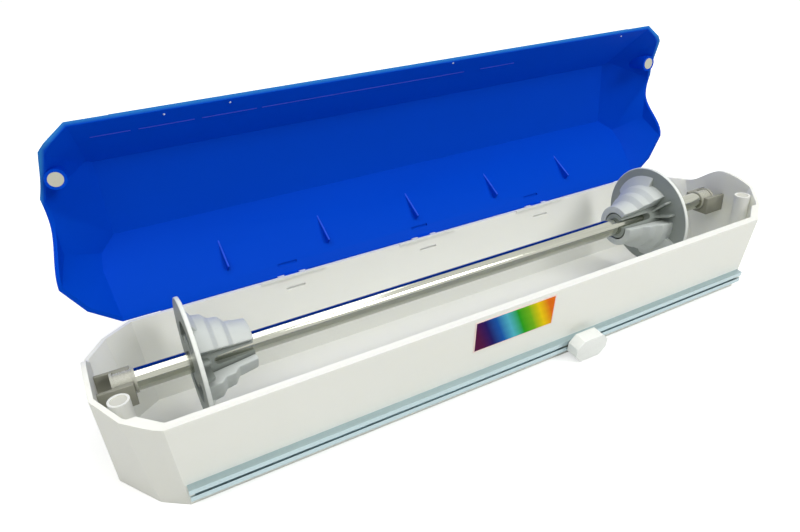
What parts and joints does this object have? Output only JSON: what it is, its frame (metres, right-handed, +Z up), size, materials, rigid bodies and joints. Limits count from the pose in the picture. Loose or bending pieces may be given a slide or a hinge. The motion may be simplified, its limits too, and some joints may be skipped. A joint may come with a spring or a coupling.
{
  "type": "cling film and foil dispenser",
  "caption": "Long faceted trough with a hinged lid, a spindle with sliding stepped roll holders, and a cutter that slides along a rail on the front.",
  "frame": {"origin": "middle of the trough's flat underside, which stands on the worktop", "axes": "+X along the length to the right seen from the front, +Y towards the hinge at the back, +Z up"},
  "size_m": [0.5678, 0.2004, 0.2125],
  "materials": {
    "trough_plastic": "off-white moulded polystyrene with a soft sheen",
    "lid_plastic": "royal blue moulded polystyrene with a soft sheen",
    "holder_plastic": "light grey moulded plastic",
    "cradle_plastic": "grey moulded plastic",
    "knob_plastic": "white moulded plastic",
    "rail_aluminium": "satin silver extrusion",
    "polished_tube": "polished stainless tube",
    "plain_steel": "plain bright steel",
    "magnet_nickel": "nickel plating",
    "label_film": null
  },
  "bodies": {
    "base": {"base_trough": "trough_plastic", "left_cradle": "cradle_plastic", "right_cradle": "cradle_plastic", "cutter_rail": "rail_aluminium", "rail_stops": "knob_plastic", "latch_seats": "plain_steel", "hinge_pins": "plain_steel", "front_label": "label_film"},
    "lid": {"lid_shell": "lid_plastic", "lid_magnets": "magnet_nickel"},
    "spindle": {"shaft_tube": "polished_tube", "left_cap": "holder_plastic", "right_cap": "holder_plastic"},
    "left_holder": {"left_flange": "holder_plastic", "left_cone": "holder_plastic"},
    "right_holder": {"right_flange": "holder_plastic", "right_cone": "holder_plastic"},
    "cutter": {"cutter_knob": "knob_plastic", "cutter_shoe": "cradle_plastic", "cutter_blade": "plain_steel"}
  },
  "joints": [
    {"name": "lid_hinge", "type": "hinge", "parent": "base", "child": "lid", "pos_m": [0, 0.0715, 0.065], "axis": [1, 0, 0], "range_deg": [0, 90]},
    {"name": "spindle_spin", "type": "hinge", "parent": "base", "child": "spindle", "pos_m": [0, 0, 0.062], "axis": [1, 0, 0], "continuous": true},
    {"name": "left_holder_slide", "type": "slide", "parent": "spindle", "child": "left_holder", "axis": [1, 0, 0], "range_m": [-0.026, 0.155]},
    {"name": "right_holder_slide", "type": "slide", "parent": "spindle", "child": "right_holder", "axis": [1, 0, 0], "range_m": [-0.13, 0.051]},
    {"name": "cutter_slide", "type": "slide", "parent": "base", "child": "cutter", "axis": [1, 0, 0], "range_m": [-0.283, 0.161]}
  ]
}
